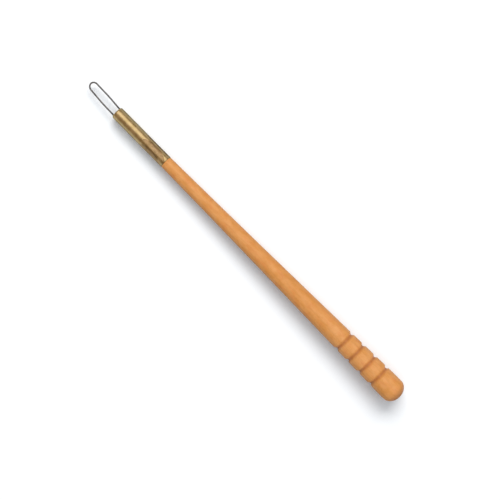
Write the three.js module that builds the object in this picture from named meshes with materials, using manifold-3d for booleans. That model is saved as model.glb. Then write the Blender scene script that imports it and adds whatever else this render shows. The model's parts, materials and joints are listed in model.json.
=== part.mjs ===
import * as THREE from 'three';
import { mergeVertices } from 'three/addons/utils/BufferGeometryUtils.js';
import Module from 'manifold-3d';

// A small pottery trimming tool: a wire loop crimped into a brass ferrule on a turned wooden handle.
// Millimetres. On the tool's own axis x = 0 is the handle's shoulder, where the brass begins.
// +X runs towards the cutting loop, and the handle runs back along -X.
// At the end the tool is laid on the bench as it lies by itself, with +Z up.

// Handle
const handleLength = 137; // shoulder to butt end
const buttRadius = 5.25; // the thickest place, in front of the dome
const neckStep = 0.04; // the neck is turned this much under the brass
const taperLength = 129; // shoulder to the place where the full radius begins
const taperPower = 1.22; // above 1 the handle swells faster towards the butt
const domeReach = 4.2; // half axis of the butt's elliptical dome, along the tool
const buttFlatRadius = 1.6; // the small flat where the turned stick was parted off
const shoulderRound = 0.15; // broken edge of the wood beside the brass

// Grip grooves
const grooveCount = 4;
const grooveSpacing = 6.62; // centre to centre
const grooveToButt = 12.34; // the last groove's centre to the butt end
const grooveDepth = 0.95;
const grooveHalfWidth = 1.5; // centre to the top of its rounded edge

// Ferrule
const ferruleLength = 29;
const ferruleRadius = 2.78; // outside
const ferruleWall = 0.4;
const frontRimRound = 0.3; // outer edge of the mouth
const rearRimRound = 0.1; // both edges beside the wood
const seatGap = 0.1; // handle's shoulder to the rear rim
const ferruleLean = 0.25; // degrees that the ferrule and all in it point towards -Y of the handle

// Tenon, the turned-down end of the handle inside the ferrule
const tenonGap = 0.1; // bore to tenon, all round
const tenonSetback = 1.2; // mouth to the tenon's end
const tenonChamfer = 0.35;

// Crimp, pressed into the ferrule and the tenon under it
const crimpFlats = 6;
const crimpToRear = 0.9; // rear rim to the first pressed place
const crimpLength = 12;
const crimpRearRamp = 1.5; // the rear end slopes in over this length
const crimpFrontRamp = 3.4; // the front end is longer, where the dies' edges are round
const crimpDepth = 0.2; // how far each flat is pressed in
const crimpTurn = 12.86; // degrees from the top to the middle of the nearest flat

// Wire loop
const wireDiameter = 0.7;
const legDepth = 20; // mouth to each leg's end, inside the ferrule
const legGap = 0.03; // leg to the crimped bore
const slotGap = 0.08; // leg to the sides and the floor of its slot in the tenon
const slotEndGap = 0.3; // leg's end to the end of its slot
const loopReach = 16.3; // mouth to the middle of the wire at the tip
const loopWidth = 3.56; // between the middles of the wire, where the round tip starts
const loopTipReach = 2.05; // half axis of the elliptical tip, along the tool
const loopSwell = 0.15; // how far each side bows out half-way along
const loopLean = 2.75; // degrees that the loop is bent towards -Y of the ferrule
const loopLeanStart = 0.5; // length of the soft bend at the mouth

// Facets
const turnSegments = 42; // even, so that the tool lies on a flat facet, and 7 for each crimp flat
const domeSteps = 9;
const grooveSteps = 8;
const taperSteps = 12;
const leastStation = 0.15; // places closer than this share one ring of points
const rampSteps = 4;
const rimSteps = 3;
const wireSides = 10;
const wireSteps = 150;

// Sizes that follow from those above
const neckRadius = ferruleRadius - neckStep;
const boreRadius = ferruleRadius - ferruleWall;
const tenonRadius = boreRadius - tenonGap;
const ferruleRear = seatGap;
const ferruleMouth = ferruleRear + ferruleLength;
const tenonEnd = ferruleMouth - tenonSetback;
const crimpStart = ferruleRear + crimpToRear;
const crimpEnd = crimpStart + crimpLength;
const wireRadius = wireDiameter / 2;
const legOffset = boreRadius - crimpDepth - legGap - wireRadius;

const wasm = await Module();
wasm.setup();

// A closed geometry as a solid that can be cut.
function solidOf(geometry) {
  const bare = geometry.clone();
  bare.deleteAttribute('normal');
  bare.deleteAttribute('uv');
  const merged = mergeVertices(bare);
  return new wasm.Manifold(new wasm.Mesh({
    numProp: 3,
    vertProperties: new Float32Array(merged.attributes.position.array),
    triVerts: new Uint32Array(merged.index.array),
  }));
}

// A solid as a geometry that can be shown.
function geometryOf(solid) {
  const mesh = solid.getMesh();
  const geometry = new THREE.BufferGeometry();
  geometry.setAttribute('position', new THREE.BufferAttribute(mesh.vertProperties, 3));
  geometry.setIndex(new THREE.BufferAttribute(mesh.triVerts, 1));
  geometry.computeVertexNormals();
  return geometry;
}

// Turns a profile about the tool's axis. Each point is (radius, x), and the outline runs from the butt
// towards the loop on the outside. Half a facet of turn puts a flat facet at the top and the bottom.
function turned(profile) {
  const geometry = new THREE.LatheGeometry(profile, turnSegments, Math.PI / turnSegments);
  geometry.rotateZ(-Math.PI / 2);
  return geometry;
}

// Evenly spaced numbers from start to end, both included.
function spread(start, end, steps) {
  return Array.from({ length: steps + 1 }, (_, i) => THREE.MathUtils.lerp(start, end, i / steps));
}

// The crimp: how far the dies press at x, nothing outside it and the full depth between its ramps.
function pressedBy(x) {
  const share = Math.min((x - crimpStart) / crimpRearRamp, (crimpEnd - x) / crimpFrontRamp);
  return crimpDepth * THREE.MathUtils.smoothstep(share, 0, 1);
}

// The places along the axis where the crimp's ramps need a ring of points.
function crimpStations() {
  return [
    ...spread(crimpStart, crimpStart + crimpRearRamp, rampSteps),
    ...spread(crimpEnd - crimpFrontRamp, crimpEnd, rampSteps),
  ];
}

// Presses the crimp's flats into a turned piece. Each layer, skin, bore or tenon, moves in by the same
// distance, so the wall keeps its thickness and the tenon keeps its gap.
function pressCrimp(geometry) {
  const position = geometry.attributes.position;
  const flatAngle = 2 * Math.PI / crimpFlats;
  const turn = THREE.MathUtils.degToRad(crimpTurn);
  for (let i = 0; i < position.count; i += 1) {
    const x = position.getX(i);
    const y = position.getY(i);
    const z = position.getZ(i);
    const radius = Math.hypot(y, z);
    if (x >= crimpStart && x <= crimpEnd && radius > 0) {
      const fromTop = Math.atan2(-y, z) - turn;
      const offFlat = fromTop - flatAngle * Math.round(fromTop / flatAngle);
      const reach = Math.min(radius, (radius - pressedBy(x)) / Math.cos(offFlat));
      position.setXYZ(i, x, y * reach / radius, z * reach / radius);
    }
  }
  return geometry;
}

// The ferrule was pushed on a little askew: everything in front of the shoulder moves sideways with it.
function leaned(geometry) {
  const position = geometry.attributes.position;
  const slope = Math.tan(THREE.MathUtils.degToRad(ferruleLean));
  for (let i = 0; i < position.count; i += 1) {
    position.setY(i, position.getY(i) - slope * Math.max(position.getX(i), 0));
  }
  geometry.computeVertexNormals();
  return geometry;
}

// The handle's radius before its grooves are cut, at a distance behind the shoulder.
function taperRadius(behind) {
  const share = Math.min(behind / taperLength, 1);
  return neckRadius + (buttRadius - neckRadius) * share ** taperPower;
}

// How deep the nearest grip groove is cut at a distance behind the shoulder.
function grooveCut(behind) {
  const last = handleLength - grooveToButt;
  const nearest = THREE.MathUtils.clamp(Math.round((last - behind) / grooveSpacing), 0, grooveCount - 1);
  const offset = behind - last + nearest * grooveSpacing;
  const share = Math.min(Math.abs(offset) / grooveHalfWidth, 1);
  return grooveDepth * (1 + Math.cos(Math.PI * share)) / 2;
}

// Where the handle's outline needs points between the shoulder and the dome, from the butt forwards.
function handleStations(domeStart) {
  const grooves = Array.from({ length: grooveCount }, (_, i) => {
    const centre = handleLength - grooveToButt - i * grooveSpacing;
    return spread(centre - grooveHalfWidth, centre + grooveHalfWidth, grooveSteps);
  });
  return [...spread(shoulderRound, domeStart, taperSteps), taperLength, ...grooves.flat()]
    .filter((behind) => behind <= domeStart)
    .sort((a, b) => b - a)
    .filter((behind, i, all) => i === 0 || all[i - 1] - behind > leastStation);
}

// The handle's outline from the butt to the shoulder: dome, beads between rounded grooves, taper.
function handleOutline() {
  const flatAngle = Math.acos(buttFlatRadius / buttRadius);
  const domeStart = handleLength - domeReach * Math.sin(flatAngle);
  const domeRadius = taperRadius(domeStart);
  const dome = spread(flatAngle, 0, domeSteps).slice(0, -1).map((angle) => new THREE.Vector2(
    domeRadius * Math.cos(angle),
    -domeStart - domeReach * Math.sin(angle),
  ));
  const stick = handleStations(domeStart).map((behind) => new THREE.Vector2(
    taperRadius(behind) - grooveCut(behind),
    -behind,
  ));
  return [new THREE.Vector2(0, -handleLength), ...dome, ...stick, new THREE.Vector2(neckRadius - shoulderRound, 0)];
}

// The tenon's outline from the shoulder to its chamfered end.
function tenonOutline() {
  const rings = [0, ...crimpStations(), tenonEnd - tenonChamfer];
  return [
    ...rings.map((x) => new THREE.Vector2(tenonRadius, x)),
    new THREE.Vector2(tenonRadius - tenonChamfer, tenonEnd),
    new THREE.Vector2(0, tenonEnd),
  ];
}

// A slot along the tenon for one leg of the wire: a round floor, open to the outside.
function legSlot(side) {
  const halfWidth = wireRadius + slotGap;
  const rear = ferruleMouth - legDepth - slotEndGap;
  const outline = new THREE.Shape();
  outline.moveTo(ferruleRadius, -halfWidth);
  outline.lineTo(ferruleRadius, halfWidth);
  outline.lineTo(legOffset, halfWidth);
  outline.absarc(legOffset, 0, halfWidth, Math.PI / 2, 3 * Math.PI / 2, false);
  const geometry = new THREE.ExtrudeGeometry(outline, {
    depth: ferruleMouth - rear,
    bevelEnabled: false,
    curveSegments: wireSides,
  });
  geometry.rotateY(Math.PI / 2);
  geometry.rotateX(side * Math.PI / 2);
  geometry.translate(rear, 0, 0);
  return solidOf(geometry);
}

// The handle and its tenon are one turned stick, pressed by the crimp and slotted for the wire.
function makeHandle() {
  const stick = solidOf(pressCrimp(turned([...handleOutline(), ...tenonOutline()])));
  const slotted = stick.subtract(legSlot(1)).subtract(legSlot(-1));
  return leaned(geometryOf(slotted));
}

// The ferrule's wall as a closed outline: skin, rounded mouth, bore and rear rim.
function ferruleOutline() {
  const outline = [
    new THREE.Vector2(boreRadius + rearRimRound, ferruleRear),
    new THREE.Vector2(ferruleRadius - rearRimRound, ferruleRear),
    new THREE.Vector2(ferruleRadius, ferruleRear + rearRimRound),
    ...crimpStations().map((x) => new THREE.Vector2(ferruleRadius, x)),
  ];
  for (const angle of spread(0, Math.PI / 2, rimSteps)) {
    outline.push(new THREE.Vector2(
      ferruleRadius - frontRimRound * (1 - Math.cos(angle)),
      ferruleMouth - frontRimRound * (1 - Math.sin(angle)),
    ));
  }
  const innerRound = ferruleWall - frontRimRound;
  outline.push(new THREE.Vector2(boreRadius, ferruleMouth - innerRound));
  outline.push(...crimpStations().reverse().map((x) => new THREE.Vector2(boreRadius, x)));
  outline.push(new THREE.Vector2(boreRadius, ferruleRear + rearRimRound));
  outline.push(outline[0].clone());
  return outline;
}

function makeFerrule() {
  return leaned(geometryOf(solidOf(pressCrimp(turned(ferruleOutline())))));
}

// The middle of the wire: leg, side, elliptical tip, side and leg, flat in the XY plane.
class LoopCurve extends THREE.Curve {
  constructor() {
    super();
    this.arcLengthDivisions = 4 * wireSteps;
    this.sideEnd = loopReach - loopTipReach;
    const straight = legDepth + this.sideEnd;
    const roundLength = (loopTipReach + loopWidth / 2) * Math.PI / 4;
    this.straightShare = straight / (straight + roundLength);
  }

  // How far the bent loop has moved sideways at a distance past the mouth.
  lean(past) {
    const run = Math.max(past, 0);
    return Math.tan(THREE.MathUtils.degToRad(loopLean)) * (Math.hypot(run, loopLeanStart) - loopLeanStart);
  }

  // Half the loop's width along its legs and sides.
  halfWidth(past) {
    const share = THREE.MathUtils.clamp(past / this.sideEnd, 0, 1);
    const swell = loopSwell * (1 - Math.cos(2 * Math.PI * share)) / 2;
    return THREE.MathUtils.lerp(legOffset, loopWidth / 2, share) + swell;
  }

  getPoint(t, target = new THREE.Vector3()) {
    const side = t < 0.5 ? 1 : -1;
    const along = 1 - Math.abs(2 * t - 1);
    let past = THREE.MathUtils.lerp(-legDepth, this.sideEnd, Math.min(along / this.straightShare, 1));
    let half = this.halfWidth(past);
    if (along > this.straightShare) {
      const angle = Math.PI / 2 * (along - this.straightShare) / (1 - this.straightShare);
      past = this.sideEnd + loopTipReach * Math.sin(angle);
      half = loopWidth / 2 * Math.cos(angle);
    }
    return target.set(ferruleMouth + past, side * half - this.lean(past), 0);
  }
}

function makeWireLoop() {
  const section = new THREE.Shape();
  section.absarc(0, 0, wireRadius, 0, 2 * Math.PI, false);
  const geometry = new THREE.ExtrudeGeometry(section, {
    steps: wireSteps,
    curveSegments: wireSides / 2, // for each half circle
    extrudePath: new LoopCurve(),
  });
  return leaned(geometryOf(solidOf(geometry)));
}

function piece(name, geometry, color, roughness, metalness) {
  const material = new THREE.MeshStandardMaterial({ color, roughness, metalness, flatShading: true });
  const mesh = new THREE.Mesh(geometry, material);
  mesh.name = name;
  return mesh;
}

// Lays the tool on the bench: the ferrule's mouth touches it, and so does the place on the handle that
// stands out most, seen from there. The lowest point is at z = 0 and the middle of the box over x = y = 0.
function layDown(tool) {
  const mouthContact = ferruleMouth - frontRimRound;
  const facetReach = Math.cos(Math.PI / turnSegments);
  const slopes = handleOutline().map((point) => (
    (point.x - ferruleRadius) * facetReach / (mouthContact - point.y)
  ));
  tool.rotation.y = Math.atan(Math.max(...slopes));
  const box = new THREE.Box3().setFromObject(tool, true);
  const middle = box.getCenter(new THREE.Vector3());
  tool.position.set(-middle.x, -middle.y, -box.min.z);
  tool.updateMatrixWorld(true);
}

const trimmingTool = new THREE.Group();
trimmingTool.add(
  piece('handle', makeHandle(), 0xdf9d60, 0.45, 0),
  piece('ferrule', makeFerrule(), 0xb8975f, 0.35, 1),
  piece('wire_loop', makeWireLoop(), 0x5a5a5c, 0.4, 1),
);
layDown(trimmingTool);

export default trimmingTool;
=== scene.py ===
import json
import math

import bpy
import numpy as np
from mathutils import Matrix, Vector


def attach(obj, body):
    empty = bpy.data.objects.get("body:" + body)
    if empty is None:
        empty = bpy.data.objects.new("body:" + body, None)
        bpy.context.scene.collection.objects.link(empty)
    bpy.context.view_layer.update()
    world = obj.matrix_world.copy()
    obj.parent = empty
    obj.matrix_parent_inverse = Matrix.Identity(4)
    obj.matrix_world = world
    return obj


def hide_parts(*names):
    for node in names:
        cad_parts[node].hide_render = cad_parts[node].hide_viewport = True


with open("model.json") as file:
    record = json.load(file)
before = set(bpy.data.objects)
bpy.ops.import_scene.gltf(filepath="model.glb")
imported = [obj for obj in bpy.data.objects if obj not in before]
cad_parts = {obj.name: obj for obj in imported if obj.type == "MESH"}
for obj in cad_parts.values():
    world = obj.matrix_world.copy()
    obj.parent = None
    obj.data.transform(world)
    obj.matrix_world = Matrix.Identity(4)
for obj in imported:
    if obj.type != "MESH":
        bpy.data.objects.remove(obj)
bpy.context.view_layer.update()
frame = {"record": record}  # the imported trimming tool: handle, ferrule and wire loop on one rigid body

# A small pottery trimming tool lying on a pale table, seen from straight above.
# Pieces are worked out on the tool's own axis in millimetres: x runs from the butt end to the
# cutting loop, y is the world's y, and an angle round the tool starts at its top and grows
# towards -y.

mm = 0.001
cadFacets = 42  # flat facets round the turned solids
facetReach = math.cos(math.pi / cadFacets)  # keeps the round pieces inside those facets

# Where the tool lies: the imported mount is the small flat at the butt, and it looks back along
# the tool.
buttMount = next(m for m in frame["record"]["mounts"] if m["name"] == "butt_end")
buttPlace = np.array(buttMount["pos_m"])
alongTool = -np.array(buttMount["axis"]) / np.linalg.norm(buttMount["axis"])
acrossTool = np.array([0.0, 1.0, 0.0])
aboveTool = np.cross(alongTool, acrossTool)
lyingTilt = math.atan2(-alongTool[2], alongTool[0])
ferruleLean = math.radians(0.25)


# World place of points given as (x, y, z) on the tool: butt + x along + y across + z above, in
# metres. The ferrule sits a little askew, so all that lies in front of the shoulder moves
# towards -y by tan(lean) (x - shoulder).
def toWorld(points):
    axes = np.stack([alongTool, acrossTool, aboveTool])
    aside = math.tan(ferruleLean) * np.maximum(points[..., 0] - handle["length"], 0)
    points = points - aside[..., None] * np.array([0.0, 1.0, 0.0])
    return buttPlace + mm * (points @ axes)


# Points of rings round the tool: (x, -r sin a, r cos a) for angle a from the top.
def ringPoints(x, radius, angle):
    x, radius, angle = np.broadcast_arrays(x, radius, angle)
    return np.stack([x, -radius * np.sin(angle), radius * np.cos(angle)], axis=-1)


# Even angles round a ring, one for each column.
def ringAngles(columns):
    return 2 * np.pi * np.arange(columns) / columns


# 0 below the start, 1 above the end, and 3t^2 - 2t^3 between them.
def easeIn(value, start, end):
    share = np.clip((value - start) / (end - start), 0, 1)
    return share * share * (3 - 2 * share)


# The smaller of two arrays with its corner rounded: -k ln(exp(-a/k) + exp(-b/k)).
def softMin(first, second, softness):
    k = np.maximum(softness, 1e-5)
    return -k * np.logaddexp(-first / k, -second / k)


# A mesh from a grid of points (rows, columns, 3). Columns close round the tool. Rows either
# close on themselves, as a tube's wall does, or end in a pole at the middle of the first and
# the last row. Each of the values becomes an attribute that the finish reads.
def gridMesh(name, points, rowsClose=False, values=None):
    rows, columns = points.shape[:2]
    index = np.arange(rows * columns).reshape(rows, columns)
    upper = index if rowsClose else index[:-1]
    lower = np.roll(index, -1, axis=0) if rowsClose else index[1:]
    quads = np.stack([upper, np.roll(upper, -1, 1), np.roll(lower, -1, 1), lower], -1)
    corners, sizes = [quads.ravel()], [np.full(quads.size // 4, 4)]
    places = points.reshape(-1, 3)
    if not rowsClose:
        poles = np.stack([points[0].mean(0), points[-1].mean(0)])
        places = np.concatenate([places, poles])
        firstPole, lastPole = rows * columns, rows * columns + 1
        first = np.stack([np.roll(index[0], -1), index[0], np.full(columns, firstPole)], -1)
        last = np.stack([index[-1], np.roll(index[-1], -1), np.full(columns, lastPole)], -1)
        corners += [first.ravel(), last.ravel()]
        sizes += [np.full(2 * columns, 3)]
    corners, sizes = np.concatenate(corners), np.concatenate(sizes)
    mesh = bpy.data.meshes.new(name)
    mesh.vertices.add(len(places))
    mesh.loops.add(len(corners))
    mesh.polygons.add(len(sizes))
    mesh.vertices.foreach_set("co", toWorld(places).astype(np.float32).ravel())
    mesh.loops.foreach_set("vertex_index", corners.astype(np.int32))
    mesh.polygons.foreach_set("loop_start", (np.cumsum(sizes) - sizes).astype(np.int32))
    mesh.polygons.foreach_set("use_smooth", np.ones(len(sizes), bool))
    for key, value in (values or {}).items():
        data = np.broadcast_to(value, (rows, columns)).ravel()
        if not rowsClose:
            data = np.concatenate([data, [data[0], data[-1]]])
        attribute = mesh.attributes.new(key, "FLOAT", "POINT")
        attribute.data.foreach_set("value", data.astype(np.float32))
    mesh.update(calc_edges=True)
    mesh.validate()
    piece = bpy.data.objects.new(name, mesh)
    bpy.context.scene.collection.objects.link(piece)
    print(f"{name}: {rows} rings of {columns}, {len(sizes)} faces")
    return piece


# One number or vector on its way through a material. Each operator adds a Math node.
class Signal:
    def __init__(self, graph, socket):
        self.graph = graph
        self.socket = socket

    def __add__(self, other):
        return self.graph.sum("ADD", self, other)

    def __radd__(self, other):
        return self.graph.sum("ADD", other, self)

    def __sub__(self, other):
        return self.graph.sum("SUBTRACT", self, other)

    def __rsub__(self, other):
        return self.graph.sum("SUBTRACT", other, self)

    def __mul__(self, other):
        return self.graph.sum("MULTIPLY", self, other)

    def __rmul__(self, other):
        return self.graph.sum("MULTIPLY", other, self)

    def __truediv__(self, other):
        return self.graph.sum("DIVIDE", self, other)

    def __rtruediv__(self, other):
        return self.graph.sum("DIVIDE", other, self)

    def __pow__(self, other):
        return self.graph.sum("POWER", self, other)

    def __rpow__(self, other):
        return self.graph.sum("POWER", other, self)


# The nodes of one material or of the world.
class Graph:
    def __init__(self, owner):
        owner.use_nodes = True
        self.tree = owner.node_tree
        self.tree.nodes.clear()

    # One node: its settings first, then its sockets' values or links, by name or number.
    def node(self, kind, settings=None, sockets=None, output=0):
        made = self.tree.nodes.new(kind)
        for key, value in (settings or {}).items():
            setattr(made, key, value)
        for key, value in (sockets or {}).items():
            if isinstance(value, Signal):
                self.tree.links.new(value.socket, made.inputs[key])
            else:
                made.inputs[key].default_value = value
        return Signal(self, made.outputs[output]) if made.outputs else None

    def sum(self, operation, first, second):
        return self.node("ShaderNodeMath", {"operation": operation}, {0: first, 1: second})

    # start to end becomes 0 to 1, eased at both ends.
    def ease(self, value, start, end):
        return self.node("ShaderNodeMapRange", {"interpolation_type": "SMOOTHSTEP"},
                         {"Value": value, "From Min": start, "From Max": end})

    def mixColour(self, share, first, second, blend="MIX"):
        first, second = [c if isinstance(c, Signal) else (*c, 1.0) for c in (first, second)]
        return self.node("ShaderNodeMix", {"data_type": "RGBA", "blend_type": blend},
                         {0: share, 6: first, 7: second}, output=2)

    # The colour multiplied by a tint where the share is 1, and left alone where it is 0.
    def tint(self, share, colour, tint):
        return self.mixColour(share, colour, tint, "MULTIPLY")

    # A colour made lighter or darker by a factor, all three channels alike.
    def scaleColour(self, colour, factor):
        return self.node("ShaderNodeVectorMath", {"operation": "SCALE"},
                         {0: colour, "Scale": factor})

    # Places on the tool in millimetres: x along it from the butt end, y across, z above its
    # axis.
    def toolPlace(self):
        return self.node("ShaderNodeMapping", {"vector_type": "TEXTURE"}, {
            "Vector": self.node("ShaderNodeTexCoord", output=3),
            "Location": tuple(buttPlace), "Rotation": (0, lyingTilt, 0), "Scale": (mm, mm, mm)})

    def noise(self, place, scale, detail=2.0, roughness=0.5, distortion=0.0):
        return self.node("ShaderNodeTexNoise", None, {
            "Vector": place, "Scale": scale, "Detail": detail, "Roughness": roughness,
            "Distortion": distortion})

    # Noise drawn out along the tool or across it: a stretch for each axis, then noise's own
    # values.
    def grain(self, place, stretch, *values):
        stretched = self.node("ShaderNodeVectorMath", {"operation": "MULTIPLY"},
                              {0: place, 1: stretch})
        return self.noise(stretched, *values)

    def attribute(self, name):
        return self.node("ShaderNodeAttribute", {"attribute_name": name}, output=2)

    def bump(self, height, distance, strength):
        return self.node("ShaderNodeBump", None, {
            "Height": height, "Distance": distance, "Strength": strength})

    def finishSurface(self, sockets):
        surface = self.node("ShaderNodeBsdfPrincipled", None, sockets)
        self.node("ShaderNodeOutputMaterial", None, {"Surface": surface})


# 1 for rays from the eye, also by way of a mirror or through glass, and 0 for the light that a
# surface gathers.
def seenByEye(g):
    rays = [g.node("ShaderNodeLightPath", output=kind) for kind in (0, 3, 6)]
    return g.sum("MINIMUM", rays[0] + rays[1] + rays[2], 1.0)


# Puts a piece in place of its CAD node, with the given finish.
def dress(piece, material, node):
    piece.data.materials.append(material)
    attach(piece, "root")
    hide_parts(node)
    return piece


# Handle
handle = {
    "length": 137.0,  # butt end to the shoulder beside the brass
    "buttRadius": 5.25,
    "neckRadius": 2.74,
    "taperLength": 129.0,  # shoulder to where the full radius begins
    "taperPower": 1.22,  # above 1 the handle swells faster towards the butt
    "domeReach": 4.2,
    "flatRadius": 1.6,  # parting flat in the middle of the dome
    "edgeRound": 0.10,
    "grooveCount": 4,
    "grooveSpacing": 6.62,
    "firstGroove": 12.34,  # butt end to the first groove's middle
    "grooveDepth": 0.74,
    "grooveHalfWidth": 1.38,
    "tenonRadius": 2.28,
    "tenonEnd": 164.9,
    "tenonChamfer": 0.35,
    "slotStart": 145.8,  # the wire's two slots run from here to the tenon's end
    "slotHalfWidth": 0.43,
    "slotFloorMiddle": 1.80,
    "slotColumns": 6,  # columns from a slot's middle to its lip
    "columns": 192,
    "domeRings": 40,
    "gripEnd": 36.0,  # rings lie close together up to here, for the grooves
    "gripStep": 0.13,
    "stemRings": 125,
    "grainAndShadeAtEndsReach": 1.0,  # end grain and painted shade darken the dome and this far past it
    "paleToneButt": 0.6,  # how pale the butt and the neck are, against 1 on the beads
    "paleToneNeck": 0.6,
    "beadsFrom": (8.0, 14.0),
    "beadsTo": (35.0, 48.0),
    "neckFrom": (80.0, 105.0),
}
crimp = {
    "rear": 138.2,
    "front": 149.8,
    "rearRamp": 1.6,
    "frontRamp": 1.4,
    "rearSkew": 4.6,  # the dies sit skew, so a flat's end slants: mm for each radian round it
    "frontSkew": 3.6,
    "depth": 0.12,
    "flats": 6,
    "flatRound": 5.2,  # the dies are a little hollow, so each flat is part of a larger circle
    "turn": math.radians(12.86),  # top of the tool to the middle of the nearest flat
    "skin": 2.78,  # the ferrule's outside; all that is under it goes in as far as it does
    "softness": 0.012,  # rounds the edges of the flats
    "flatShadeFull": 0.5,  # shares of a flat's half: the painted shade is strongest from here
    "flatShadeEnd": 0.85,  # and no more from here to its edge
}


# How far the angle is from the middle of the nearest flat.
def fromFlat(angle):
    step = 2 * math.pi / crimp["flats"]
    turned = angle - crimp["turn"]
    return turned - step * np.round(turned / step)


# How deep a flat is along the tool: 0 outside the crimp, 1 between its two ramps, which start
# at rear + skew off and front - skew off for the angle off from the flat's middle.
def crimpReach(x, off):
    fromRear = (x - crimp["rear"] - crimp["rearSkew"] * off) / crimp["rearRamp"]
    fromFront = (crimp["front"] - crimp["frontSkew"] * off - x) / crimp["frontRamp"]
    return easeIn(np.minimum(fromRear, fromFront), 0, 1)


# How far a layer is pressed in: the skin's circle less each flat, which is a part of a circle
# of the larger radius R about a point c from the axis, c = skin - depth - R:
# r = c cos off + sqrt(R^2 - c^2 sin^2 off).
def pressedBy(x, angle):
    off = fromFlat(angle)
    reach = crimpReach(x, off)
    larger = crimp["flatRound"]
    middle = crimp["skin"] - crimp["depth"] * reach - larger
    flat = middle * np.cos(off) + np.sqrt(larger ** 2 - (middle * np.sin(off)) ** 2)
    return crimp["skin"] - softMin(crimp["skin"], flat, crimp["softness"] * reach)


# Handle's radius before its grooves: neck + (butt - neck) share^power, counted from the
# shoulder.
def taperRadius(x):
    neck, butt = handle["neckRadius"], handle["buttRadius"]
    share = np.clip((handle["length"] - x) / handle["taperLength"], 0, 1)
    return neck + (butt - neck) * share ** handle["taperPower"]


# Depth of the grip grooves: the nearest one is a raised cosine, depth (1 + cos(pi t)) / 2.
def grooveCut(x):
    number = np.round((x - handle["firstGroove"]) / handle["grooveSpacing"])
    number = np.clip(number, 0, handle["grooveCount"] - 1)
    offset = x - handle["firstGroove"] - number * handle["grooveSpacing"]
    share = np.clip(np.abs(offset) / handle["grooveHalfWidth"], 0, 1)
    return handle["grooveDepth"] * (1 + np.cos(math.pi * share)) / 2


# The slots for the wire, one on each side of the tenon: the columns nearest to the side are
# moved onto a slot's outline, lip on the tenon's skin, straight walls and a half-round floor.
# Known fault: the heights have the wrong sign, so each outline runs backwards and the slots are
# twisted inside the ferrule. side * height, without the minus, mends them.
def cutSlots(points, radius):
    columns, lip = handle["columns"], handle["slotColumns"]
    step = np.arange(-lip, lip + 1)
    turn = np.pi / 2 * step / (lip - 1)
    width, middle = handle["slotHalfWidth"], handle["slotFloorMiddle"]
    rings = np.ones((len(points), 1))
    for side, centre in ((-1, columns // 4), (1, 3 * columns // 4)):
        where = centre + step
        reach = (middle - width * np.cos(turn)) * rings
        height = width * np.sin(turn) * rings
        reach[:, [0, -1]] = np.sqrt(radius[:, where[[0, -1]]] ** 2 - width ** 2)
        height[:, [0, -1]] = [-width, width]
        points[:, where, 1] = side * reach
        points[:, where, 2] = -side * height
    return points


# A turned stick: rings from the parting flat over the dome, along grooves and taper to the
# shoulder, and on along the tenon, whose skin and slots are pressed in under the crimp.
def makeHandle():
    shoulder, edge = handle["length"], handle["edgeRound"]
    tenonEnd, chamfer = handle["tenonEnd"], handle["tenonChamfer"]
    angle = ringAngles(handle["columns"])
    flatRadius = handle["flatRadius"] * np.array([0.2, 0.5, 0.8, 0.97])
    flatAngle = math.acos(handle["flatRadius"] / handle["buttRadius"])
    domeStart = handle["domeReach"] * math.sin(flatAngle)
    domeAngle = np.linspace(flatAngle, 0, handle["domeRings"])[:-1]
    domeX = domeStart - handle["domeReach"] * np.sin(domeAngle)
    domeRadius = taperRadius(domeStart) * np.cos(domeAngle)
    stickX = np.concatenate([
        np.arange(domeStart, handle["gripEnd"], handle["gripStep"]),
        np.linspace(handle["gripEnd"], shoulder - edge, handle["stemRings"])])
    stickRadius = taperRadius(stickX) - grooveCut(stickX)
    edgeTurn = np.linspace(0, np.pi / 2, 5)[1:]
    edgeX = shoulder - edge * (1 - np.sin(edgeTurn))
    edgeRadius = handle["neckRadius"] - edge * (1 - np.cos(edgeTurn))
    seatRadius = handle["tenonRadius"] + np.array([0.08, 0.02])
    tenonX = np.concatenate([
        shoulder + np.array([0.03, 0.3, 0.9]),
        np.linspace(crimp["rear"] + 0.1, handle["slotStart"], 26),
        np.linspace(handle["slotStart"] + 0.04, crimp["front"], 16),
        np.linspace(crimp["front"] + 0.5, tenonEnd - chamfer, 14),
        [tenonEnd - chamfer / 2, tenonEnd, tenonEnd]])
    tenonRadius = np.full(len(tenonX), handle["tenonRadius"])
    tenonRadius[-3:] -= chamfer * np.array([0.5, 1.0, 1.0])
    x = np.concatenate([np.zeros(4), domeX, stickX, edgeX, np.full(2, shoulder), tenonX])
    radius = np.concatenate([flatRadius, domeRadius, stickRadius, edgeRadius, seatRadius,
                             tenonRadius])
    radius = radius[:, None] * np.ones((1, handle["columns"]))
    onTenon = x > shoulder + 0.5
    radius[onTenon] -= pressedBy(x[onTenon, None], angle)
    radius *= facetReach
    points = ringPoints(x[:, None], radius, angle)
    slotted = x > handle["slotStart"] + 0.01
    points[slotted] = cutSlots(points[slotted], radius[slotted])
    points[-1, :, 1:] = points[-2, :, 1:] * 0.97  # the end face's inner ring keeps its rim crisp
    valley = np.where(x < shoulder, grooveCut(x) / handle["grooveDepth"], 0)
    # Darker ends: end grain, plus painted shade at the dome's rim and on the tenon's end in the
    # ferrule's mouth.
    grainAndShadeAtEnds = 1 - easeIn(x, 0, domeStart + handle["grainAndShadeAtEndsReach"])
    grainAndShadeAtEnds = grainAndShadeAtEnds + easeIn(x, tenonEnd - 0.6, tenonEnd)
    paleTone = handle["paleToneButt"] + (1 - handle["paleToneButt"]) * easeIn(x, *handle["beadsFrom"])
    paleTone = paleTone * (1 - easeIn(x, *handle["beadsTo"]))
    paleTone = paleTone + handle["paleToneNeck"] * easeIn(x, *handle["neckFrom"])
    return gridMesh("turnedHandle", points, values={
        "valley": valley[:, None], "grainAndShadeAtEnds": grainAndShadeAtEnds[:, None], "paleTone": paleTone[:, None]})


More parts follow.
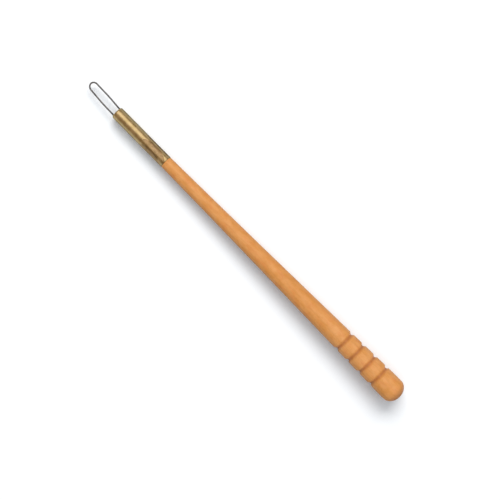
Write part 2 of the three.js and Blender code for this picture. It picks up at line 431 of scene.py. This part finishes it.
woodFinish = {
    "light": (0.825, 0.352, 0.098),
    "deep": (0.75, 0.292, 0.061),
    "red": (0.78, 0.262, 0.065),
    "redShare": 0.45,
    "paleToneTint": (1.03, 1.07, 1.20),  # beads and neck are paler and less saturated
    # painted shade in the groove bottoms, dark enough to stand in for the shade of deeper grooves
    "grooveShadeTint": (0.66, 0.55, 0.53),
    # end grain takes more lacquer, and this tint also holds painted shade at the dome's rim and the
    # tenon's end
    "grainAndShadeAtEndsTint": (0.67, 0.65, 0.82),
    "pith": (0.0, -14.0, 22.0),  # the middle of the tree, in millimetres from the tool's axis
    "ringSpacing": 1.6,
    "ringWander": 5.0,
    "roughness": 0.48,
    "gloss": 0.28,
    "relief": 0.04,  # millimetres from pore to ridge
    # Stretch along, across and up, then the noise's scale, detail, roughness and distortion.
    "grains": {
        "wander": ((0.02, 0.12, 0.12), 1.0, 2.0),
        "fibre": ((0.05, 3.0, 3.0), 1.0, 4.0, 0.6),
        "fineFibre": ((0.25, 14.0, 14.0), 1.0, 3.0, 0.6),
        "fleck": ((0.6, 11.0, 11.0), 1.0, 1.0, 0.5),
        "turning": ((7.0, 0.3, 0.3), 1.0, 2.0, 0.6),
        "mottle": ((0.22, 0.42, 0.42), 1.0, 3.0, 0.6),
        "blush": ((0.18, 0.36, 0.36), 1.3, 2.0, 0.5, 0.4),
    },
    # How much each of them darkens the wood.
    "depths": {"lateWood": 0.05, "fibre": 0.14, "fineFibre": 0.2, "fleck": 0.13,
               "turning": 0.06},
}


def makeWood():
    material = bpy.data.materials.new("lacquered hardwood")
    g = Graph(material)
    place = g.toolPlace()
    grains, depths = woodFinish["grains"], woodFinish["depths"]
    fromPith = g.node("ShaderNodeVectorMath", {"operation": "SUBTRACT"},
                      {0: place, 1: woodFinish["pith"]})
    slantedPith = g.node("ShaderNodeVectorMath", {"operation": "MULTIPLY"},
                         {0: fromPith, 1: (0.035, 1.0, 1.0)})
    across = g.node("ShaderNodeVectorMath", {"operation": "LENGTH"}, {0: slantedPith}, output=1)
    wander = g.grain(place, *grains["wander"]) * woodFinish["ringWander"]
    saw = g.node("ShaderNodeMath", {"operation": "FRACT"},
                 {0: (across + wander) / woodFinish["ringSpacing"]})
    lateWood = g.ease(saw, 0.55, 0.95) * (1.0 - g.ease(saw, 0.955, 1.0))
    fibre = g.grain(place, *grains["fibre"])
    fineFibre = g.grain(place, *grains["fineFibre"])
    fleck = g.ease(g.grain(place, *grains["fleck"]), 0.60, 0.74)
    turning = g.grain(place, *grains["turning"])
    mottle = g.ease(g.grain(place, *grains["mottle"]), 0.30, 0.70)
    blush = g.ease(g.grain(place, *grains["blush"]), 0.50, 0.68)
    grainAndShadeAtEnds = g.attribute("grainAndShadeAtEnds")
    colour = g.mixColour(mottle, woodFinish["deep"], woodFinish["light"])
    colour = g.mixColour(blush * woodFinish["redShare"], colour, woodFinish["red"])
    shade = (1.0 - lateWood * depths["lateWood"] - (fibre - 0.5) * depths["fibre"]
             - (fineFibre - 0.5) * depths["fineFibre"] - fleck * depths["fleck"]
             - (turning - 0.5) * depths["turning"])
    colour = g.scaleColour(colour, shade)
    colour = g.tint(g.attribute("paleTone"), colour, woodFinish["paleToneTint"])
    # Painted shade in the groove bottoms.
    colour = g.tint(g.attribute("valley") ** 2.0, colour, woodFinish["grooveShadeTint"])
    # End grain and painted shade at the ends.
    colour = g.tint(grainAndShadeAtEnds ** 1.5, colour, woodFinish["grainAndShadeAtEndsTint"])
    height = fibre * 0.5 + fineFibre * 0.35 + turning * 0.3 - fleck * 0.6
    g.finishSurface({
        "Base Color": colour,
        "Roughness": woodFinish["roughness"] + (fibre - 0.5) * 0.12 + grainAndShadeAtEnds * 0.1,
        "Normal": g.bump(height, woodFinish["relief"] * mm, 0.6),
        "Specular IOR Level": woodFinish["gloss"],
    })
    return material


handlePiece = dress(makeHandle(), makeWood(), "handle")

# Ferrule
ferrule = {
    "rear": 137.04,
    "mouth": 166.1,
    "radius": 2.78,
    "bore": 2.38,
    "mouthRound": 0.3,
    "mouthRoll": 0.8,  # the tube cutter has rolled the mouth's edge in over this length
    "rearRound": 0.07,
    "columns": 240,
    "rearRings": 8,
    "crimpRings": 110,
    "plainRings": 30,
    "paintedFlankFrom": (0.64, 0.92),  # painted shade on one flank, standing in for a dark reflection: from here out, as shares of the radius
    "paintedFlankTo": (math.radians(85), math.radians(125)),  # and down to here
}


# A tube's closed wall: rings along the skin, round the mouth's lip, back along the bore and
# round the rear rim. All of it is pressed in together under the crimp.
def makeFerrule():
    angle = ringAngles(ferrule["columns"])
    rear, mouth, radius, bore = (ferrule[key] for key in ("rear", "mouth", "radius", "bore"))
    mouthRoll, small = ferrule["mouthRoll"], ferrule["rearRound"]
    skinX = np.concatenate([
        np.linspace(rear + small, crimp["rear"], ferrule["rearRings"])[:-1],
        np.linspace(crimp["rear"], crimp["front"], ferrule["crimpRings"]),
        np.linspace(crimp["front"], mouth - mouthRoll, ferrule["plainRings"])[1:]])
    outer = np.linspace(0, np.pi / 2, 9)[1:]
    inner = np.linspace(np.pi / 2, 0, 5)[:-1]
    innerRound = radius - bore - ferrule["mouthRound"]
    rimX = np.concatenate([mouth - mouthRoll * (1 - np.sin(outer)),
                           mouth - innerRound * (1 - np.sin(inner))[1:]])
    rimRadius = np.concatenate([radius - ferrule["mouthRound"] * (1 - np.cos(outer)),
                                bore + innerRound * (1 - np.cos(inner))[1:]])
    boreX = skinX[::-2]
    turn = np.linspace(0, np.pi / 2, 4)
    towards, away = 1 - np.sin(turn), 1 - np.cos(turn)
    rearX = rear + small * np.concatenate([towards[1:], away[:-1]])
    rearRadius = np.concatenate([bore + small * away[1:], radius - small * towards[:-1]])
    x = np.concatenate([skinX, rimX, boreX, rearX])[:, None]
    profile = np.concatenate([np.full(len(skinX), radius), rimRadius,
                              np.full(len(boreX), bore), rearRadius])
    depth = pressedBy(x, angle)
    points = ringPoints(x, (profile[:, None] - depth) * facetReach, angle)
    off = fromFlat(angle)
    share = off / (math.pi / crimp["flats"])
    # Painted shade on one side of each flat, standing in for a darker reflection there.
    flatShade = easeIn(share, 0.0, crimp["flatShadeFull"]) * (1 - easeIn(share, crimp["flatShadeEnd"], 1.0))
    inside = np.concatenate([np.zeros(len(skinX)), easeIn(np.arange(len(rimX)), 5, 11),
                             np.ones(len(boreX)), np.zeros(len(rearX))])
    # One flank is painted darker: painted shade that stands in for a dark reflection there.
    paintedFlank = easeIn(np.sin(angle), *ferrule["paintedFlankFrom"]) * (1 - easeIn(angle, *ferrule["paintedFlankTo"]))
    return gridMesh("crimpedFerrule", points, rowsClose=True, values={
        "pressed": easeIn(depth, 0.004, 0.03), "flatShade": flatShade * crimpReach(x, off),
        "inside": inside[:, None], "paintedFlank": paintedFlank, "rearEdge": 1 - easeIn(x, rear, rear + 0.5)})


brassFinish = {
    "bright": (0.48, 0.375, 0.202),
    "dull": (0.37, 0.282, 0.135),
    "crimpedTint": (0.78, 0.71, 0.74),
    "flatShadeTint": (0.66, 0.62, 0.56),  # painted shade on one side of each flat, standing in for a darker reflection
    "paintedFlankTint": (0.64, 0.66, 0.72),  # painted shade on one flank of the tube, standing in for a dark reflection
    "tarnish": (0.10, 0.065, 0.03),
    "tarnishInside": 0.85,
    "tarnishRear": 0.3,
    "edge": (0.40, 0.36, 0.33),  # brass seen at a glancing angle
    "roughness": 0.38,
    "relief": 0.02,  # millimetres
    # Stretch along, across and up, then the noise's scale, detail and roughness.
    "grains": {
        "draw": ((0.12, 7.0, 7.0), 1.0, 4.0, 0.6),
        "fineDraw": ((0.4, 26.0, 26.0), 1.0, 3.0, 0.6),
        "dent": ((0.55, 1.1, 1.1), 1.0, 2.0, 0.5),
    },
    "cloud": (0.55, 3.0, 0.55),  # scale, detail and roughness
    "speck": (4.0, 3.0, 0.6),
    # How much each of them darkens the brass, dents only on the flats.
    "depths": {"draw": 0.30, "fineDraw": 0.30, "speck": 0.18, "dent": 0.36},
}


def makeBrass():
    material = bpy.data.materials.new("drawn brass")
    g = Graph(material)
    place = g.toolPlace()
    grains, depths = brassFinish["grains"], brassFinish["depths"]
    draw = g.grain(place, *grains["draw"])
    fineDraw = g.grain(place, *grains["fineDraw"])
    dent = g.ease(g.grain(place, *grains["dent"]), 0.34, 0.66)
    cloud = g.noise(place, *brassFinish["cloud"])
    speck = g.ease(g.noise(place, *brassFinish["speck"]), 0.62, 0.74)
    pressed = g.attribute("pressed")
    colour = g.mixColour(g.ease(cloud, 0.30, 0.70), brassFinish["dull"], brassFinish["bright"])
    colour = g.tint(pressed, colour, brassFinish["crimpedTint"])
    # painted shade on one side of each flat
    colour = g.tint(g.attribute("flatShade"), colour, brassFinish["flatShadeTint"])
    # painted shade on one flank, standing in for a dark reflection
    colour = g.tint(g.attribute("paintedFlank"), colour, brassFinish["paintedFlankTint"])
    colour = g.scaleColour(colour, 1.0 - (draw - 0.5) * depths["draw"]
                           - (fineDraw - 0.5) * depths["fineDraw"] - speck * depths["speck"])
    colour = g.scaleColour(colour, 1.0 - pressed * (dent - 0.5) * depths["dent"])
    colour = g.mixColour(g.attribute("inside") * brassFinish["tarnishInside"], colour,
                         brassFinish["tarnish"])
    colour = g.mixColour(g.attribute("rearEdge") * brassFinish["tarnishRear"], colour,
                         brassFinish["tarnish"])
    g.finishSurface({
        "Base Color": colour,
        "Metallic": 1.0,
        "Specular Tint": (*brassFinish["edge"], 1.0),
        "Roughness": (brassFinish["roughness"] + (cloud - 0.5) * 0.15
                      + (fineDraw - 0.5) * 0.15 + pressed * 0.1),
        "Normal": g.bump(draw * 0.6 + fineDraw * 0.4, brassFinish["relief"] * mm, 0.5),
    })
    return material


ferrulePiece = dress(makeFerrule(), makeBrass(), "ferrule")

# Wire loop
wire = {
    "radius": 0.343,
    "legDepth": 20.0,  # mouth to each leg's end, inside the ferrule
    "legOffset": 1.80,
    "reach": 16.29,  # mouth to the middle of the wire at the tip
    "width": 3.56,
    "tipReach": 2.05,
    "swell": 0.15,
    "lean": math.radians(2.75),
    "leanStart": 0.5,
    "stainMiddle": 0.3,  # the wire is darker where it leaves the brass: a stain, and painted shade where it enters the ferrule
    "stainReach": (0.3, 1.8),
    "rings": 420,
    "columns": 20,
}


# Middle of the wire for t from 0 to 1: one leg and side, the elliptical tip, then the other
# side and leg. Half width = lerp(leg, tip, s) + swell (1 - cos 2 pi s) / 2, tip = ellipse, and
# all of it leans towards -y by tan(lean) (hypot(past, start) - start).
def wirePath(t):
    sideEnd = wire["reach"] - wire["tipReach"]
    straight = wire["legDepth"] + sideEnd
    tipHalf = wire["width"] / 2
    roundLength = (wire["tipReach"] + tipHalf) * np.pi / 4
    straightShare = straight / (straight + roundLength)
    along = 1 - np.abs(2 * t - 1)
    side = np.where(t < 0.5, 1.0, -1.0)
    past = -wire["legDepth"] + straight * np.minimum(along / straightShare, 1)
    share = np.clip(past / sideEnd, 0, 1)
    half = wire["legOffset"] + (tipHalf - wire["legOffset"]) * share
    half = half + wire["swell"] * (1 - np.cos(2 * np.pi * share)) / 2
    turn = np.pi / 2 * np.clip((along - straightShare) / (1 - straightShare), 0, 1)
    onTip = along > straightShare
    past = np.where(onTip, sideEnd + wire["tipReach"] * np.sin(turn), past)
    half = np.where(onTip, tipHalf * np.cos(turn), half)
    run = np.hypot(np.maximum(past, 0), wire["leanStart"]) - wire["leanStart"]
    aside = side * half - math.tan(wire["lean"]) * run
    return np.stack([ferrule["mouth"] + past, aside, np.zeros_like(t)], -1)


# A round tube along the path, its rings evenly far apart:
# middle + r (cos a * sideways + sin a * up), sideways = up x direction.
def makeWire():
    t = np.linspace(0, 1, 4001)
    steps = np.linalg.norm(np.diff(wirePath(t), axis=0), axis=1)
    length = np.concatenate([[0], np.cumsum(steps)])
    path = wirePath(np.interp(np.linspace(0, length[-1], wire["rings"]), length, t))
    direction = np.gradient(path, axis=0)
    direction /= np.linalg.norm(direction, axis=1, keepdims=True)
    up = np.array([0.0, 0.0, 1.0])
    sideways = np.cross(up, direction)
    angle = ringAngles(wire["columns"])[None, :, None]
    spoke = np.cos(angle) * sideways[:, None] + np.sin(angle) * up
    points = path[:, None] + wire["radius"] * spoke
    # Darker near the mouth: a stain, and painted shade where the wire enters the ferrule.
    fromMouth = np.abs(path[:, 0] - ferrule["mouth"] - wire["stainMiddle"])
    stainAndShade = 1 - easeIn(fromMouth, *wire["stainReach"])
    return gridMesh("cuttingWire", points, values={"stainAndShade": stainAndShade[:, None]})


steelFinish = {
    "light": (0.20, 0.20, 0.205),
    "dark": (0.10, 0.10, 0.105),
    # a stain, and painted shade where the wire enters the ferrule
    "stainAndShade": (0.03, 0.028, 0.025),
    "stainShare": 0.8,
    "roughness": 0.38,
    "relief": 0.01,  # millimetres
    "cloud": (1.1, 3.0, 0.6),  # noise's scale, detail and roughness
    "scratch": ((2.0, 30.0, 30.0), 1.0, 3.0, 0.6),  # the same after a stretch for each axis
}


def makeSteel():
    material = bpy.data.materials.new("grey spring steel")
    g = Graph(material)
    place = g.toolPlace()
    cloud = g.noise(place, *steelFinish["cloud"])
    scratch = g.grain(place, *steelFinish["scratch"])
    stainAndShade = g.attribute("stainAndShade")
    colour = g.mixColour(g.ease(cloud, 0.3, 0.7), steelFinish["dark"], steelFinish["light"])
    colour = g.scaleColour(colour, 1.0 - (scratch - 0.5) * 0.4)
    # Stain, and painted shade, near the mouth.
    colour = g.mixColour(stainAndShade * steelFinish["stainShare"], colour, steelFinish["stainAndShade"])
    g.finishSurface({
        "Base Color": colour,
        "Metallic": 1.0,
        "Roughness": steelFinish["roughness"] + (scratch - 0.5) * 0.2 + stainAndShade * 0.15,
        "Normal": g.bump(scratch, steelFinish["relief"] * mm, 0.5),
    })
    return material


wirePiece = dress(makeWire(), makeSteel(), "wire_loop")

# Table, lamps and camera
table = {
    "radius": 0.60,  # metres
    "firstRing": 0.02,
    "fadeFrom": 0.32,  # the disc fades away from here
    "fadeTo": 0.57,
    "rings": 24,
    "columns": 64,
    "seenColour": (1.0, 0.991, 0.979),  # white, with the trace of blue in the sky taken out
    "bounceColour": (0.38, 0.38, 0.38),
}


# A flat disc: rings of radius r at angle a, at height 0, and one face in the middle.
def makeTable():
    rings, columns = table["rings"], table["columns"]
    radius = np.linspace(table["firstRing"], table["radius"], rings)[:, None]
    angle = ringAngles(columns)
    height = np.zeros((rings, columns))
    flat = np.stack([radius * np.cos(angle), radius * np.sin(angle), height], -1).reshape(-1, 3)
    index = np.arange(rings * columns).reshape(rings, columns)
    quads = np.stack([index[:-1], index[1:], np.roll(index[1:], -1, 1),
                      np.roll(index[:-1], -1, 1)], -1)
    faces = quads.reshape(-1, 4).tolist() + [index[0].tolist()]
    mesh = bpy.data.meshes.new("paleTable")
    mesh.from_pydata(flat.tolist(), [], faces)
    mesh.update()
    disc = bpy.data.objects.new("paleTable", mesh)
    bpy.context.scene.collection.objects.link(disc)
    material = bpy.data.materials.new("white paper")
    g = Graph(material)
    colour = g.mixColour(seenByEye(g), table["bounceColour"], table["seenColour"])
    paper = g.node("ShaderNodeBsdfDiffuse", None, {"Color": colour})
    fromMiddle = g.node("ShaderNodeVectorMath", {"operation": "LENGTH"},
                        {0: g.node("ShaderNodeTexCoord", output=3)}, output=1)
    surface = g.node("ShaderNodeMixShader", None, {
        0: g.ease(fromMiddle, table["fadeFrom"], table["fadeTo"]), 1: paper,
        2: g.node("ShaderNodeBsdfTransparent")})
    g.node("ShaderNodeOutputMaterial", None, {"Surface": surface})
    mesh.materials.append(material)
    return disc


# Two softboxes, off to the tool's -y side and towards its loop, by these tangents of the angle
# from straight above. A high one shapes the tool, and a lower one throws its shadow on the
# paper. Sizes are in metres.
softboxes = {
    "toolSoftbox": {"along": 0.10, "aside": 0.38, "sizeAlong": 3.4, "sizeAcross": 2.8,
                    "watts": 56},
    "shadowSoftbox": {"along": 0.66, "aside": 0.95, "sizeAlong": 3.0, "sizeAcross": 1.5,
                      "watts": 88},
}
sky = {
    "distance": 3.0,  # metres from the table to each softbox, far enough to light all alike
    "fill": 0.58,
    "fillColour": (0.94, 1.0, 1.068),
    "ceiling": (0.44, 0.30, 0.185),  # what metal sees overhead, beside the lamp
    "whiteTo": math.sin(math.radians(2)),  # white up to this height above the horizon
    "ceilingFrom": math.sin(math.radians(18)),
}


def makeSoftbox(name, receivers):
    box = softboxes[name]
    light = bpy.data.lights.new(name, "AREA")
    light.shape = "RECTANGLE"
    light.size, light.size_y = box["sizeAlong"], box["sizeAcross"]
    light.energy = box["watts"]
    softbox = bpy.data.objects.new(name, light)
    bpy.context.scene.collection.objects.link(softbox)
    towards = Vector((box["along"], -box["aside"], 1.0)).normalized()
    softbox.location = towards * sky["distance"]
    softbox.rotation_euler = towards.to_track_quat("Z", "Y").to_euler()
    softbox.visible_camera = False
    lit = bpy.data.collections.new(name)
    for piece in receivers:
        lit.objects.link(piece)
    softbox.light_linking.receiver_collection = lit


# The camera sees a white page all round, and metal sees a warm ceiling above it. For the light
# that surfaces gather, the sky is brighter overhead: 1.5 fill z, which adds up to the fill.
def makeSky():
    world = bpy.data.worlds.new("studio")
    bpy.context.scene.world = world
    g = Graph(world)
    height = g.node("ShaderNodeSeparateXYZ", None,
                    {0: g.node("ShaderNodeTexCoord", output=0)}, output=2)
    cameraRay = g.node("ShaderNodeLightPath", output=0)
    overhead = g.ease(height, sky["whiteTo"], sky["ceilingFrom"]) * (1.0 - cameraRay)
    shown = g.mixColour(overhead, (1.0, 1.0, 1.0), sky["ceiling"])
    strength = g.sum("MAXIMUM", height, 0.0) * (1.5 * sky["fill"])
    gathered = g.scaleColour(sky["fillColour"], strength)
    background = g.node("ShaderNodeBackground", None, {
        "Color": g.mixColour(seenByEye(g), gathered, shown), "Strength": 1.0})
    g.node("ShaderNodeOutputWorld", None, {"Surface": background})


camera = {
    "height": 0.4245,  # metres above the table
    "fromButt": 0.08648,  # butt end to the middle of the picture, along the tool
    "sideways": 0.0010,
    "lens": 72.95,
    "sensor": 36.0,
    "toolAngle": math.radians(45.14),  # the tool's slope across the picture, down to the right
}


# Looking straight down, with the butt end at the lower right: the picture's right is
# (-cos, -sin) and its top is (sin, -cos) of the tool's angle.
def makeCamera():
    data = bpy.data.cameras.new("above")
    data.lens, data.sensor_width = camera["lens"], camera["sensor"]
    data.dof.use_dof = False
    view = bpy.data.objects.new("above", data)
    bpy.context.scene.collection.objects.link(view)
    view.location = (buttPlace[0] + camera["fromButt"], camera["sideways"], camera["height"])
    slope = camera["toolAngle"]
    view.rotation_euler = (0, 0, math.atan2(-math.sin(slope), -math.cos(slope)))
    bpy.context.scene.camera = view


makeSoftbox("toolSoftbox", [handlePiece, ferrulePiece, wirePiece])
makeSoftbox("shadowSoftbox", [makeTable()])
makeSky()
makeCamera()
bpy.context.scene.view_settings.view_transform = "Standard"
print("table, softboxes, sky and camera are set")
